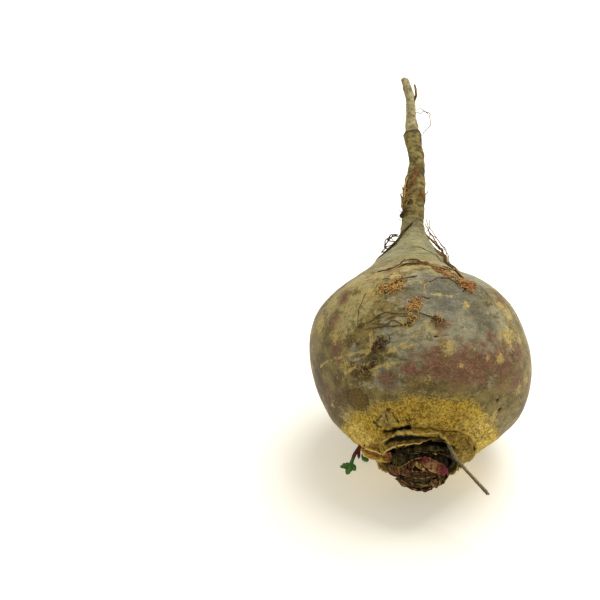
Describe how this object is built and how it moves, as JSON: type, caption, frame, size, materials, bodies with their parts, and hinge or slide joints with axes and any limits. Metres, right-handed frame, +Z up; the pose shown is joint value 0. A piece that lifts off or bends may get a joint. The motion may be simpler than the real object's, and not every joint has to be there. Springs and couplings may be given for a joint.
{
  "type": "beetroot",
  "caption": "Whole uncooked beetroot lying on its side, with a long taproot, side roots, a corky crown with torn ledges, cut leaf stubs, a dried leaf stalk and a small shoot.",
  "frame": {"origin": "centre of the small flat spot under the root, on the surface that it lies on", "axes": "+Z up, +Y along the ground in the direction in which the taproot points, crown towards -Y, +X to the right as seen from the crown"},
  "size_m": [0.0897, 0.1801, 0.1091],
  "materials": {
    "beet_root": "satin olive and grey-green skin with corky ochre crown and dull red patches",
    "crown_leaf_stubs": "dull dark purple-brown dried leaf bases",
    "dry_leaf_stalk": "matte grey-brown dry fibre",
    "side_shoot": "satin fresh green leaves on a dark red stem"
  },
  "bodies": {
    "root": {"beet_root": "beet_root", "crown_leaf_stubs": "crown_leaf_stubs", "dry_leaf_stalk": "dry_leaf_stalk", "side_shoot": "side_shoot"}
  },
  "joints": []
}
